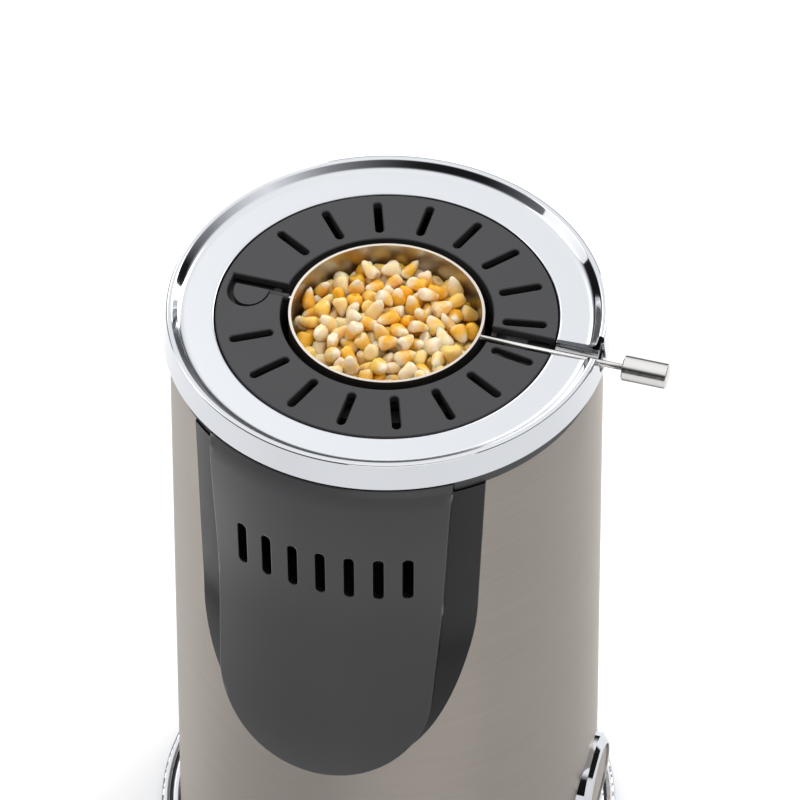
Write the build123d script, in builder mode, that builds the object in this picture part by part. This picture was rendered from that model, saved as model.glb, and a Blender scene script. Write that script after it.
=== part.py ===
from build123d import *

import os
from math import cos, radians, sin

# Hot-air popcorn maker: a tapered steel body with a smoked chute at the front and a tipping kernel cup in
# its lid. Millimetres, +Z up. The origin is on the table, on the body's axis. The chute faces -Y, and the
# cup's rod runs along X, with its knob at +X.

os.makedirs("parts", exist_ok=True)

# Body and lid
body_top_radius = 78.36  # of the steel at the height of the grille plate
body_taper = 0.0272  # how much wider the body gets for each millimetre down
deck_z = 292.0  # top face of the grille plate
lip_z = 296.1  # top of the lid's polished lip
band_bottom_z = 285.7  # lower edge of the lid's outer band
shell_top_z = 279.0
shell_bottom_z = 11.0
shell_wall = 1.0

# Radii in the lid, from the middle outwards
cup_radius = 35.5
well_radius = 38.6
grille_radius = 61.8
lip_inner_radius = 77.5
lip_outer_radius = 79.4
band_bottom_radius = 81.1

# The rod that the cup tips on
rod_z = 289.0
rod_radius = 1.2
rod_end_x = 98.0
knob_radius = 4.7
knob_length = 16.4
knob_x = 88.0
slot_half_width = 4.0  # clear slot round the rod, in the grille and in the dish
channel_bore = 3.3
channel_z = 290.6
fit = 0.05  # running clearance of a shaft in its bearing
gap = 0.3  # clearance between pieces that part or move

# The chute at the front
arch_half_width = 52.4
arch_half_top = 53.4
arch_centre_z = 218.0
arch_depth = 86.4
mouth_half_width = 34.5
mouth_top_z = 272.0
mouth_centre_z = 178.0
mouth_depth = 38.0
surround_wall = 2.6
duct_wall = 1.6
ramp_top = (-48.4, 206.2)  # (y, z) of the ramp's upper and lower ends
ramp_foot = (-84.0, 140.0)
# How far the black front panel stands out from the steel at each height: it swells round the chute's exit.
panel_swell = [(279.0, 0.8), (218.0, 0.8), (206.0, 1.1), (196.0, 3.0), (184.0, 5.0), (168.0, 6.1),
               (150.0, 4.4), (131.0, 0.8)]
shield_wall = 2.4
shield_half_top = 44.4
shield_half_width = 40.6
shield_centre_z = 178.5
shield_depth = 36.5
shield_shoulder = (83.2, 280.6)  # above it the shield's top slopes in under the lid
shield_top = (81.5, 285.2)
shield_section = [shield_shoulder, (83.8, 241.4), (84.3, 222.0), (86.2, 205.0), (88.6, 190.0), (91.6, 173.0),
                  (94.6, 157.0), (96.2, 138.0)]
slot_z = 241.4
slot_spacing = 7.2  # degrees between the shield's air slots

# The popping chamber and what drives it
chamber_radius = 43.0
chamber_wall = 1.2
chamber_bottom_z = 92.0
chamber_top_z = 204.0
hood_radius = 45.0
hood_wall = 2.0
hood_top_z = 283.5
sleeve_radius = 56.0
sleeve_wall = 0.8
sleeve_top_z = 152.0
fan_deck_z = 64.0
fan_deck_thickness = 2.0
fan_radius = 40.0
motor_radius = 18.0
motor_bottom_z = 14.0
motor_top_z = 58.0
shaft_radius = 1.6

# The base
foot_height = 4.0
pan_thickness = 2.5
bead_radius = 94.0
bead_top_z = 12.8
post_circle = 58.0

# The power button on the +X side
button_z = 52.5
button_radius = 14.4
bezel_radius = 18.5
button_face_x = 88.0


def body_radius(z):
    """Outer radius of the steel body at height z: it widens evenly towards the table."""
    return body_top_radius + body_taper * (deck_z - z)


def turned_profile(*corners, plane=Plane.XZ):
    """Closed profile of (radius, height) corners, to be turned about the plane's vertical axis."""
    with BuildSketch(plane) as profile:
        with BuildLine():
            Polyline(*corners, close=True)
        make_face()
    return profile.sketch


def arch(half_top, half_width, top, centre, depth):
    """Arch seen from the front: straight sides that end in a half ellipse at the bottom."""
    with BuildSketch(Plane.XZ) as outline:
        with BuildLine():
            Polyline((-half_width, centre), (-half_top, top), (half_top, top), (half_width, centre))
            EllipticalCenterArc((0, centre), half_width, depth, start_angle=180, arc_size=180)
        make_face()
    return outline.sketch


def turned_tube(radius, wall, bottom, top):
    """Profile of a plain tube of that inner radius."""
    return turned_profile((radius, bottom), (radius + wall, bottom), (radius + wall, top), (radius, top))


def side_box(x_range, y_range, z_range, mode):
    """Box between three pairs of limits, added to or cut from the part in hand."""
    sizes = [high - low for low, high in (x_range, y_range, z_range)]
    middle = tuple((low + high) / 2 for low, high in (x_range, y_range, z_range))
    with Locations(middle):
        Box(*sizes, mode=mode)


def write(piece, name):
    """Labels one finished sub-part and writes it to its own STEP file."""
    piece.part.label = name
    export_step(piece.part, f"parts/{name}.step")


# ---------------------------------------------------------------- base

with BuildPart() as foot_ring:
    with BuildSketch():
        Circle(78)
        Circle(70, mode=Mode.SUBTRACT)
    extrude(amount=foot_height)
    chamfer(foot_ring.edges().group_by(Axis.Z)[0], 0.6)
write(foot_ring, "foot_ring")

pan_top_z = foot_height + pan_thickness
with BuildPart() as base_pan:
    revolve(turned_profile((0, foot_height), (93, foot_height), (93, pan_top_z), (90.4, pan_top_z),
                           (90.4, 10), (89.6, 10), (89.6, pan_top_z), (84.6, pan_top_z), (84.6, 22),
                           (82.6, 22), (82.6, pan_top_z), (0, pan_top_z)), axis=Axis.Z)
    with BuildSketch(Plane.XY.offset(foot_height)):
        with PolarLocations(37, 24):
            SlotCenterToCenter(22, 4)
    extrude(amount=pan_thickness, mode=Mode.SUBTRACT)
    with PolarLocations(post_circle, 4, start_angle=45):
        with Locations((0, 0, foot_height)):
            CounterBoreHole(radius=1.7, counter_bore_radius=4, counter_bore_depth=1.6, depth=pan_thickness)
    with Locations((-60, 0, pan_top_z), (-36, 0, pan_top_z)):
        Cylinder(2.5, 6.7, align=(Align.CENTER, Align.CENTER, Align.MIN))
write(base_pan, "base_pan")

with BuildPart() as base_bead_ring:
    revolve(turned_profile((90.4, pan_top_z), (93, pan_top_z), (93, 3), (bead_radius, 3),
                           (bead_radius, bead_top_z), (90.4, bead_top_z)), axis=Axis.Z)
    fillet(base_bead_ring.edges().group_by(Axis.Z)[-1], 1.6)
write(base_bead_ring, "base_bead_ring")

with BuildPart() as base_trim_ring:
    revolve(turned_profile((86.2, pan_top_z), (89.6, pan_top_z), (89.6, 11.6), (86.2, 11.6)), axis=Axis.Z)
    fillet(base_trim_ring.edges().group_by(Axis.Z)[-1], 1.2)
write(base_trim_ring, "base_trim_ring")

with BuildPart() as base_screws:
    with PolarLocations(post_circle, 4, start_angle=45):
        with Locations((0, 0, foot_height + 0.1)):
            Cylinder(3.5, 1.5, align=(Align.CENTER, Align.CENTER, Align.MIN))
            Cylinder(1.5, 16, align=(Align.CENTER, Align.CENTER, Align.MIN))
        with Locations((0, 0, foot_height + 0.1)):
            Box(4, 0.8, 0.8, align=(Align.CENTER, Align.CENTER, Align.MIN), mode=Mode.SUBTRACT)
write(base_screws, "base_screws")

# ---------------------------------------------------------------- outer body

with BuildPart() as body_shell:
    revolve(turned_profile((body_radius(shell_bottom_z) - shell_wall, shell_bottom_z),
                           (body_radius(shell_bottom_z), shell_bottom_z),
                           (body_radius(shell_top_z), shell_top_z),
                           (body_radius(shell_top_z) - shell_wall, shell_top_z)), axis=Axis.Z)
    extrude(arch(arch_half_top, arch_half_width, shell_top_z, arch_centre_z, arch_depth), amount=120,
            mode=Mode.SUBTRACT)
    with BuildSketch(Plane.YZ):
        with Locations((0, button_z)):
            Circle(bezel_radius)
    extrude(amount=120, mode=Mode.SUBTRACT)
    with BuildSketch(Plane.XZ):
        with Locations((0, 32)):
            Circle(7)
    extrude(amount=-120, mode=Mode.SUBTRACT)
write(body_shell, "body_shell")

# The collar closes the shell's top, carries the lid on its ledge and centres it with its upstand.
with BuildPart() as neck_collar:
    revolve(turned_profile((71, shell_top_z), (78.7, shell_top_z), (78.7, 285.2), (78.0, 285.2), (78.0, 290),
                           (75.7, 290), (75.7, 285.2), (71, 285.2)), axis=Axis.Z)
    revolve(turned_tube(75.4, 2.0, 268, shell_top_z), axis=Axis.Z)
    side_box((-54, 54), (-90, -40), (260, shell_top_z), Mode.SUBTRACT)
    side_box((70, 85), (-slot_half_width - 0.8, slot_half_width + 0.8), (285.2, 292), Mode.SUBTRACT)
write(neck_collar, "neck_collar")

# ---------------------------------------------------------------- chute

def panel_drum(inset, inner_gap):
    """Half section of the panel: its swelling outside, set in by inset, down to a cone inside the shell."""
    outside = [(body_radius(z) + swell - inset, z) for z, swell in panel_swell]
    with BuildSketch(Plane.XZ) as section:
        with BuildLine():
            Polyline(*outside[:2])
            Spline(*outside[1:], tangents=[(-body_taper, 1), (0.12, 1)], tangent_scalars=[1, 1])
            Polyline(outside[-1], (max(0, body_radius(131) - inner_gap), 131),
                     (max(0, body_radius(shell_top_z) - inner_gap), shell_top_z), outside[0])
        make_face()
    return section.sketch


with BuildPart() as surround_hollow:
    revolve(panel_drum(surround_wall, 5.0), axis=Axis.Z)
    extrude(arch(arch_half_top - surround_wall, arch_half_width - surround_wall, shell_top_z - surround_wall,
                 arch_centre_z, arch_depth - surround_wall), amount=120, mode=Mode.INTERSECT)

with BuildPart() as chute_surround:
    revolve(panel_drum(0, 3.0), axis=Axis.Z)
    extrude(arch(arch_half_top, arch_half_width, shell_top_z, arch_centre_z, arch_depth), amount=120,
            mode=Mode.INTERSECT)
    add(surround_hollow.part, mode=Mode.SUBTRACT)
    extrude(arch(mouth_half_width, mouth_half_width, mouth_top_z, mouth_centre_z, mouth_depth), amount=120,
            mode=Mode.SUBTRACT)
write(chute_surround, "chute_surround")


def above_ramp(drop, front, back):
    """Side view of the space above the ramp, lowered by drop and moved back, to front ahead of the axis."""
    upper = (ramp_top[0] + back, ramp_top[1] - drop)
    lower = (ramp_foot[0] + back, ramp_foot[1] - drop)
    with BuildSketch(Plane.YZ) as side:
        with BuildLine():
            Polyline((0, upper[1]), upper, lower, (-front, lower[1]), (-front, 300), (0, 300), close=True)
        make_face()
    return side.sketch


with BuildPart() as duct_outside:
    extrude(arch(mouth_half_width + duct_wall, mouth_half_width + duct_wall, mouth_top_z + duct_wall,
                 mouth_centre_z, mouth_depth + duct_wall), amount=120)
    extrude(above_ramp(duct_wall * 1.3, 110, 1.0), amount=60, both=True, mode=Mode.INTERSECT)
    panel_skin = [(body_radius(z) + 0.8 - surround_wall, z) for z in (shell_top_z, 131)]
    revolve(turned_profile((0, shell_top_z), *panel_skin, (0, 131)), axis=Axis.Z, mode=Mode.INTERSECT)

with BuildPart() as duct_inside:
    extrude(arch(mouth_half_width, mouth_half_width, mouth_top_z, mouth_centre_z, mouth_depth), amount=120)
    extrude(above_ramp(0, 130, 0), amount=60, both=True, mode=Mode.INTERSECT)

with BuildPart() as chute_duct:
    with Locations((0, 0, chamber_top_z)):
        Cylinder(hood_radius + hood_wall, hood_top_z - chamber_top_z,
                 align=(Align.CENTER, Align.CENTER, Align.MIN))
    add(duct_outside.part)
    with Locations((0, 0, chamber_top_z)):
        Cylinder(hood_radius, hood_top_z - chamber_top_z - duct_wall,
                 align=(Align.CENTER, Align.CENTER, Align.MIN), mode=Mode.SUBTRACT)
        Cylinder(well_radius + 2.6, 100, align=(Align.CENTER, Align.CENTER, Align.MIN), mode=Mode.SUBTRACT)
    add(duct_inside.part, mode=Mode.SUBTRACT)
write(chute_duct, "chute_duct")


def shield_drum(inset):
    """Half section of the drum that the shield's front is part of, set in by that much."""
    front = [(r - inset, z) for r, z in shield_section]
    top = (shield_top[0] - inset, shield_top[1])
    with BuildSketch(Plane.XZ) as section:
        with BuildLine():
            Spline(*front)
            Polyline(front[-1], (0, front[-1][1]), (0, top[1]), top, front[0])
        make_face()
    return section.sketch


with BuildPart() as shield_inside:
    revolve(shield_drum(shield_wall), axis=Axis.Z)
    extrude(arch(shield_half_top - shield_wall, shield_half_width - shield_wall, shield_top[1],
                 shield_centre_z, 60), amount=120, mode=Mode.INTERSECT)

with BuildPart() as chute_shield:
    revolve(shield_drum(0), axis=Axis.Z)
    extrude(arch(shield_half_top, shield_half_width, shield_top[1], shield_centre_z, shield_depth),
            amount=120, mode=Mode.INTERSECT)
    add(shield_inside.part, mode=Mode.SUBTRACT)
    revolve(panel_drum(0, body_radius(131)), axis=Axis.Z, mode=Mode.SUBTRACT)
    collar_room = body_radius(shell_top_z) + 0.6
    revolve(turned_profile((0, shell_top_z), (collar_room, shell_top_z), (collar_room, 290), (0, 290)),
            axis=Axis.Z, mode=Mode.SUBTRACT)
    with BuildSketch(Plane.XZ):
        for step in range(-3, 4):
            with Locations((shield_section[1][0] * sin(radians(slot_spacing * step)), slot_z)):
                SlotOverall(20.5, 3.8, rotation=90)
    extrude(amount=120, mode=Mode.SUBTRACT)
write(chute_shield, "chute_shield")

# ---------------------------------------------------------------- popping chamber and heater

chamber_outside = chamber_radius + chamber_wall
with BuildPart() as popping_chamber:
    revolve(turned_profile((chamber_radius, chamber_bottom_z), (chamber_outside, chamber_bottom_z),
                           (chamber_outside, 152.8), (46, 152.8), (46, 154.0), (chamber_outside, 154.0),
                           (chamber_outside, 202.8), (46.8, 202.8), (46.8, chamber_top_z),
                           (chamber_radius, chamber_top_z)), axis=Axis.Z)
    with PolarLocations(chamber_radius + chamber_wall / 2, 16):
        with Locations(Location((0, 0, 101), (25, 0, 0))):
            Box(6, 9, 1.8, mode=Mode.SUBTRACT)
write(popping_chamber, "popping_chamber")

with BuildPart() as chamber_floor:
    revolve(turned_profile((0, 97.8), (14, 97.8), (30, chamber_bottom_z), (chamber_radius, chamber_bottom_z),
                           (chamber_radius, 93.2), (30.4, 93.2), (14.4, 99), (0, 99)), axis=Axis.Z)
write(chamber_floor, "chamber_floor")

with BuildPart() as heater_frame:
    revolve(turned_tube(chamber_outside + 0.2, 11, 108, 109), axis=Axis.Z)
    with PolarLocations(chamber_outside + 3.2, 8, start_angle=22.5):
        with Locations((0, 0, 108)):
            Box(5.6, 1, 38, align=(Align.CENTER, Align.CENTER, Align.MIN))
write(heater_frame, "heater_frame")

with BuildPart() as heater_coil:
    with BuildLine() as coil_path:
        Helix(pitch=6, height=30, radius=51.2, center=(0, 0, 112))
    with BuildSketch(Plane(origin=coil_path.line @ 0, z_dir=coil_path.line % 0)):
        Circle(0.6)
    sweep(is_frenet=True)
write(heater_coil, "heater_coil")

with BuildPart() as air_sleeve:
    sleeve_foot_z = fan_deck_z + fan_deck_thickness
    revolve(turned_tube(sleeve_radius, sleeve_wall, sleeve_foot_z, sleeve_top_z), axis=Axis.Z)
    revolve(turned_tube(chamber_outside, 12.6, sleeve_top_z, 152.8), axis=Axis.Z)
    revolve(turned_tube(sleeve_radius, 5, sleeve_foot_z, sleeve_foot_z + 0.8), axis=Axis.Z)
write(air_sleeve, "air_sleeve")

with BuildPart() as thermostat:
    with BuildSketch(Plane.XZ.offset(-sleeve_radius - sleeve_wall)):
        with Locations((0, 118)):
            Circle(8)
    extrude(amount=-6)
    with BuildSketch(Plane.XZ.offset(-sleeve_radius - sleeve_wall - 6)):
        with Locations((-4, 118), (4, 118)):
            Rectangle(1.2, 5)
    extrude(amount=-7)
write(thermostat, "thermostat")

with BuildPart() as thermal_fuse:
    with BuildSketch(Plane.XZ.offset(-sleeve_radius - sleeve_wall)):
        with Locations((0, 140)):
            SlotOverall(14, 4)
    extrude(amount=-4)
write(thermal_fuse, "thermal_fuse")

# ---------------------------------------------------------------- fan and motor

with BuildPart() as fan_deck:
    with BuildSketch(Plane.XY.offset(fan_deck_z)):
        Circle(82)
        Circle(26, mode=Mode.SUBTRACT)
        with Locations((74, 0)):
            Rectangle(20, 30, mode=Mode.SUBTRACT)
    extrude(amount=fan_deck_thickness)
    with PolarLocations(post_circle, 4, start_angle=45):
        with Locations((0, 0, pan_top_z)):
            Cylinder(5, fan_deck_z - pan_top_z, align=(Align.CENTER, Align.CENTER, Align.MIN))
            Cylinder(1.5, 14, align=(Align.CENTER, Align.CENTER, Align.MIN), mode=Mode.SUBTRACT)
write(fan_deck, "fan_deck")

with BuildPart() as motor_body:
    with BuildSketch(Plane.XY.offset(motor_bottom_z)):
        Circle(motor_radius)
    extrude(amount=motor_top_z - motor_bottom_z)
    fillet(motor_body.edges().group_by(Axis.Z)[0], 2)
    with BuildSketch(Plane.XY.offset(motor_top_z - 34)):
        Circle(shaft_radius + fit)
    extrude(amount=40, mode=Mode.SUBTRACT)
write(motor_body, "motor_body")

with BuildPart() as motor_bracket:
    with BuildSketch(Plane.XY.offset(motor_top_z)):
        Circle(17)
        with PolarLocations(24, 3, start_angle=90):
            Rectangle(20, 9)
        Circle(6, mode=Mode.SUBTRACT)
    extrude(amount=1.5)
    with BuildSketch(Plane.XY.offset(motor_top_z + 1.5)):
        with PolarLocations(31, 3, start_angle=90):
            Circle(3)
    extrude(amount=fan_deck_z - motor_top_z - 1.5)
write(motor_bracket, "motor_bracket")

with BuildPart() as motor_screws:
    with PolarLocations(11, 2):
        with Locations((0, 0, motor_top_z + 1.5)):
            Cylinder(2.4, 1.6, align=(Align.CENTER, Align.CENTER, Align.MIN))
write(motor_screws, "motor_screws")

with BuildPart() as motor_shaft:
    with BuildSketch(Plane.XY.offset(motor_top_z - 34 + gap)):
        Circle(shaft_radius)
    extrude(amount=62 - gap)
write(motor_shaft, "motor_shaft")

with BuildPart() as fan_impeller:
    with BuildSketch(Plane.XY.offset(70)):
        Circle(fan_radius)
        Circle(20, mode=Mode.SUBTRACT)
    extrude(amount=1.2)
    with BuildSketch(Plane.XY.offset(84)):
        Circle(fan_radius)
    extrude(amount=1.4)
    with BuildSketch(Plane.XY.offset(71.2)):
        with PolarLocations(30, 12):
            Rectangle(18, 1.4, rotation=28)
    extrude(amount=12.8)
    with BuildSketch(Plane.XY.offset(74)):
        Circle(5)
    extrude(amount=10)
    with BuildSketch(Plane.XY.offset(66)):
        Circle(shaft_radius)
    extrude(amount=30, mode=Mode.SUBTRACT)
write(fan_impeller, "fan_impeller")

with BuildPart() as rectifier_board:
    side_box((-66, -30), (-13, 13), (13.2, 14.8), Mode.ADD)
write(rectifier_board, "rectifier_board")

with BuildPart() as board_components:
    for y in (-9, -3, 3, 9):
        side_box((-62, -54), (y - 1.4, y + 1.4), (14.8, 17.6), Mode.ADD)
    with Locations((-41, 0, 14.8)):
        Cylinder(5, 13, align=(Align.CENTER, Align.CENTER, Align.MIN))
write(board_components, "board_components")

# ---------------------------------------------------------------- power button and cord inlet

with BuildPart() as button_bezel:
    with BuildSketch(Plane(origin=(0, 0, button_z), x_dir=(1, 0, 0), z_dir=(0, -1, 0))):
        with BuildLine():
            Polyline((75, button_radius + gap), (75, bezel_radius), (86.2, bezel_radius), (88.8, 15.6),
                     (88.8, button_radius + gap), close=True)
        make_face()
    revolve(axis=Axis((0, 0, button_z), (1, 0, 0)))
write(button_bezel, "button_bezel")

with BuildPart() as power_button:
    with BuildSketch(Plane.YZ.offset(button_face_x - 4)):
        with Locations((0, button_z)):
            Circle(button_radius)
    extrude(amount=4)
    fillet(power_button.edges().group_by(Axis.X)[-1], 0.7)
    with BuildSketch(Plane.YZ.offset(button_face_x - 4)):
        with Locations((0, button_z)):
            Circle(3.5)
    extrude(amount=-6)
write(power_button, "power_button")

with BuildPart() as power_switch:
    side_box((57, 75), (-9, 9), (button_z - 9, button_z + 9), Mode.ADD)
    side_box((74, 75), (-17, 17), (button_z - 7, button_z + 7), Mode.ADD)
    with Locations((54, -5, button_z), (54, 5, button_z)):
        Box(6, 0.8, 5)
write(power_switch, "power_switch")

with BuildPart() as cord_gland:
    with BuildSketch(Plane.XZ.offset(-80)):
        with Locations((0, 32)):
            Circle(7)
    extrude(amount=-9)
    with BuildSketch(Plane.XZ.offset(-86)):
        with Locations((0, 32)):
            Circle(9.5)
    extrude(amount=-4)
    with BuildSketch(Plane.XZ.offset(-70)):
        with Locations((0, 32)):
            Circle(3.4)
    extrude(amount=-30, mode=Mode.SUBTRACT)
write(cord_gland, "cord_gland")

# ---------------------------------------------------------------- lid

# Dish, lip and outer band are one polished pressing. The slot for the rod runs out through the lip.
with BuildPart() as lid_cover:
    with BuildSketch(Plane.XZ) as cover_profile:
        with BuildLine():
            Polyline((62.3, 292.1), (74.4, 292.6), (lip_inner_radius, lip_z), (lip_outer_radius, lip_z),
                     (band_bottom_radius, band_bottom_z), (80.0, band_bottom_z), (78.6, 294.4),
                     (78.1, 294.4), (75.4, 291.6), (62.3, 290.7), close=True)
        make_face()
        fillet(cover_profile.vertices().sort_by(Axis.Y)[5], 3.2)  # where the dish turns up into the lip
        fillet(cover_profile.vertices().sort_by(Axis.Y)[4], 0.8)  # round the grille plate
        fillet(cover_profile.vertices().sort_by(Axis.Y)[-2:], 0.9)
    revolve(axis=Axis.Z)
    side_box((60, 77), (-slot_half_width, slot_half_width), (280, 300), Mode.SUBTRACT)
    with BuildSketch(Plane.YZ.offset(74)) as notch_profile:
        with BuildLine():
            Polyline((-7, 298), (-4.4, 293.4), (-4.2, 287.4), (4.2, 287.4), (4.4, 293.4), (7, 298),
                     close=True)
        make_face()
        fillet(notch_profile.vertices().group_by(Axis.Y)[0], 1.6)
    extrude(amount=12, mode=Mode.SUBTRACT)
write(lid_cover, "lid_cover")

with BuildPart() as grille_plate:
    with BuildSketch(Plane.XY.offset(rod_z)):
        Circle(grille_radius)
        Circle(well_radius, mode=Mode.SUBTRACT)
        with Locations((50, 0)):
            Rectangle(30, 2 * slot_half_width, mode=Mode.SUBTRACT)
        for step in range(18):
            angle = 10 + 20 * step
            if angle not in (170, 190):
                with Locations((49.9 * cos(radians(angle)), 49.9 * sin(radians(angle)))):
                    SlotOverall(16, 3.2, rotation=angle, mode=Mode.SUBTRACT)
        with BuildLine():
            Polyline((-59.3, -2.3), (-59.3, 4), (-36, 4), (-36, -2.3), (-43.7, -2.3))
            EllipticalCenterArc((-51.5, -2.3), 7.8, 9, start_angle=0, arc_size=-180)
        make_face(mode=Mode.SUBTRACT)
    extrude(amount=deck_z - rod_z)
    chamfer(grille_plate.edges().group_by(Axis.Z)[-1], 0.35)
write(grille_plate, "grille_plate")

with BuildPart() as lid_pan:
    revolve(turned_profile((well_radius, 258), (40.4, 258), (40.4, 285.5), (75.2, 285.5), (75.2, 287),
                           (71.5, 287), (71.5, 291.2), (70, 291.2), (70, 287), (61.4, 287), (61.4, rod_z),
                           (60, rod_z), (60, 287), (40.4, 287), (40.4, rod_z), (well_radius, rod_z)),
            axis=Axis.Z)
    side_box((59, 80), (-slot_half_width, slot_half_width), (280, 295), Mode.SUBTRACT)
    side_box((36, 41), (-2, 2), (rod_z - 1.6, 295), Mode.SUBTRACT)
    side_box((-41, -36), (-2.3, 4), (rod_z - 1.8, 295), Mode.SUBTRACT)
    side_box((-56, -46), (-8, -4), (286.5, rod_z - gap), Mode.ADD)
    with BuildSketch(Plane.XY.offset(285.5)):
        for step in range(18):
            angle = 10 + 20 * step
            if angle not in (170, 190):
                with Locations((50.2 * cos(radians(angle)), 50.2 * sin(radians(angle)))):
                    SlotOverall(17, 4.6, rotation=angle)
    extrude(amount=1.5, mode=Mode.SUBTRACT)
write(lid_pan, "lid_pan")

# A round-bottomed trough under the rod joins the two edges of the dish's slot.
with BuildPart() as rod_channel:
    with BuildSketch(Plane.YZ.offset(62.3)):
        with Locations((0, channel_z)):
            Circle(slot_half_width)
            Circle(channel_bore, mode=Mode.SUBTRACT)
            Rectangle(20, 20, align=(Align.CENTER, Align.MIN), mode=Mode.SUBTRACT)
        for side in (-1, 1):
            with Locations((side * (slot_half_width + channel_bore) / 2, channel_z)):
                Rectangle(slot_half_width - channel_bore, 0.8, align=(Align.CENTER, Align.MIN))
    extrude(amount=78 - 62.3)
write(rod_channel, "rod_channel")


def saddle(x_range, y_range, bore):
    """Open-topped bearing block: the rod lies in a half-round groove and lifts straight out."""
    side_box(x_range, y_range, (287, rod_z), Mode.ADD)
    with BuildSketch(Plane.YZ.offset(x_range[0])) as groove:
        with Locations((0, rod_z)):
            Circle(bore)
    extrude(groove.sketch, amount=x_range[1] - x_range[0], mode=Mode.SUBTRACT)


with BuildPart() as rod_saddle_right:
    saddle((44, 52), (-3.6, 3.6), rod_radius + fit)
write(rod_saddle_right, "rod_saddle_right")

with BuildPart() as rod_saddle_left:
    saddle((-43.4, -40.6), (-2.1, 3.6), 1.4 + fit)
write(rod_saddle_left, "rod_saddle_left")

# ---------------------------------------------------------------- kernel cup and its rod

with BuildPart() as kernel_cup:
    with BuildSketch(Plane.XZ):
        with BuildLine():
            Polyline((0, 265), (20.5, 265))
            RadiusArc((20.5, 265), (cup_radius, 280), -15)
            Polyline((cup_radius, 280), (cup_radius, 292.3), (34.5, 292.3), (34.7, 280))
            RadiusArc((34.7, 280), (20.5, 265.8), 14.2)
            Polyline((20.5, 265.8), (0, 265.8), (0, 265))
        make_face()
    revolve(axis=Axis.Z)
    with BuildSketch(Plane.YZ.offset(34)):
        with Locations((0, rod_z)):
            Circle(rod_radius)
    extrude(amount=3, mode=Mode.SUBTRACT)
    with BuildSketch(Plane.YZ.offset(-37)):
        with Locations((0, rod_z)):
            Circle(0.8)
    extrude(amount=3, mode=Mode.SUBTRACT)
write(kernel_cup, "kernel_cup")

with BuildPart() as cup_rod:
    with BuildSketch(Plane.YZ.offset(34.5)):
        with Locations((0, rod_z)):
            Circle(rod_radius)
    extrude(amount=rod_end_x - 34.5)
write(cup_rod, "cup_rod")

with BuildPart() as rod_knob:
    with BuildSketch(Plane.YZ.offset(knob_x)):
        with Locations((0, rod_z)):
            Circle(knob_radius)
    extrude(amount=knob_length)
    chamfer(rod_knob.edges(), 0.4)
    with BuildSketch(Plane.YZ.offset(knob_x)):
        with Locations((0, rod_z)):
            Circle(rod_radius)
    extrude(amount=rod_end_x - knob_x, mode=Mode.SUBTRACT)
write(rod_knob, "rod_knob")

with BuildPart() as cup_pin:
    with BuildSketch(Plane.YZ.offset(-34.5)):
        with Locations((0, rod_z)):
            Circle(0.8)
    extrude(amount=-16)
write(cup_pin, "cup_pin")

# The paddle holds the cup level and meets the edge of its own recess when the cup is tipped.
with BuildPart() as stop_paddle:
    with BuildSketch(Plane.XY.offset(rod_z)):
        with BuildLine():
            Polyline((-57, -1.6), (-57, -0.3), (-44.3, -0.3), (-44.3, -1.6))
            EllipticalCenterArc((-50.65, -1.6), 6.35, 8.2, start_angle=0, arc_size=-180)
        make_face()
    extrude(amount=2.4)
    with BuildSketch(Plane.YZ.offset(-52)):
        with Locations((0, rod_z)):
            Circle(1.4)
    extrude(amount=15)
    with BuildSketch(Plane.YZ.offset(-50.5)):
        with Locations((0, rod_z)):
            Circle(0.8)
    extrude(amount=20, mode=Mode.SUBTRACT)
write(stop_paddle, "stop_paddle")
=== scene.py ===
"""Looks of a hot-air popcorn maker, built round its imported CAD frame.

Metres throughout, in the frame's own axes: +Z up from the table, the chute towards -Y and the cup's knob at +X.
"""

import logging
from dataclasses import dataclass, field
from enum import Enum
from math import cos, radians, sin

import bmesh
import bpy
import numpy as np
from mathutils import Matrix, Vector


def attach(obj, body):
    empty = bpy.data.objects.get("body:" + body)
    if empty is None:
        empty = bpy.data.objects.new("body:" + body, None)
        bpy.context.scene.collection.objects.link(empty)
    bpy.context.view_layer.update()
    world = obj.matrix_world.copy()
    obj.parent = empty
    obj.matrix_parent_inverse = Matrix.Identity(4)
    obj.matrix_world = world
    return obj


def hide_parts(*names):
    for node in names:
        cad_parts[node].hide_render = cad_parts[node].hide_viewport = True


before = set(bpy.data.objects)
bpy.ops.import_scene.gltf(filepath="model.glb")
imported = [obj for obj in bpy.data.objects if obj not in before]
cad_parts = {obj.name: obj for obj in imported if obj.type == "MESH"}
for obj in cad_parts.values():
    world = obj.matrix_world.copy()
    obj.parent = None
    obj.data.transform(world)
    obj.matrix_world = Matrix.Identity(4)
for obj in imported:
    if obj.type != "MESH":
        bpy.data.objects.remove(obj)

log = logging.getLogger("popcorn_maker")
MM = 0.001
TINY = 1e-9  # metres, added to a distance that divides, so that it is never nought
TURNED_WELD = 1e-6  # metres within which a turned surface's own points are one
COPY_WELD = 2e-6  # metres within which the corners of a CAD node's loose triangles are one


class BodyName(Enum):
    """The rigid bodies that the finished pieces ride on."""

    HOUSING = "housing"
    LID = "lid"
    CUP = "cup"
    BUTTON = "power_button"


# ---------------------------------------------------------------------------------------------- nodes and colours


def linear(hex_colour: str) -> tuple[float, float, float, float]:
    """Turns an sRGB hex colour to linear.

    Args:
        hex_colour: six hex digits after a hash sign.

    Returns:
        Linear red, green, blue and an alpha of one.
    """
    srgb = np.array([int(hex_colour[i : i + 2], 16) for i in (1, 3, 5)]) / 255
    value = np.where(srgb <= 0.04045, srgb / 12.92, ((srgb + 0.055) / 1.055) ** 2.4)
    return (*(float(v) for v in value), 1.0)


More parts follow.
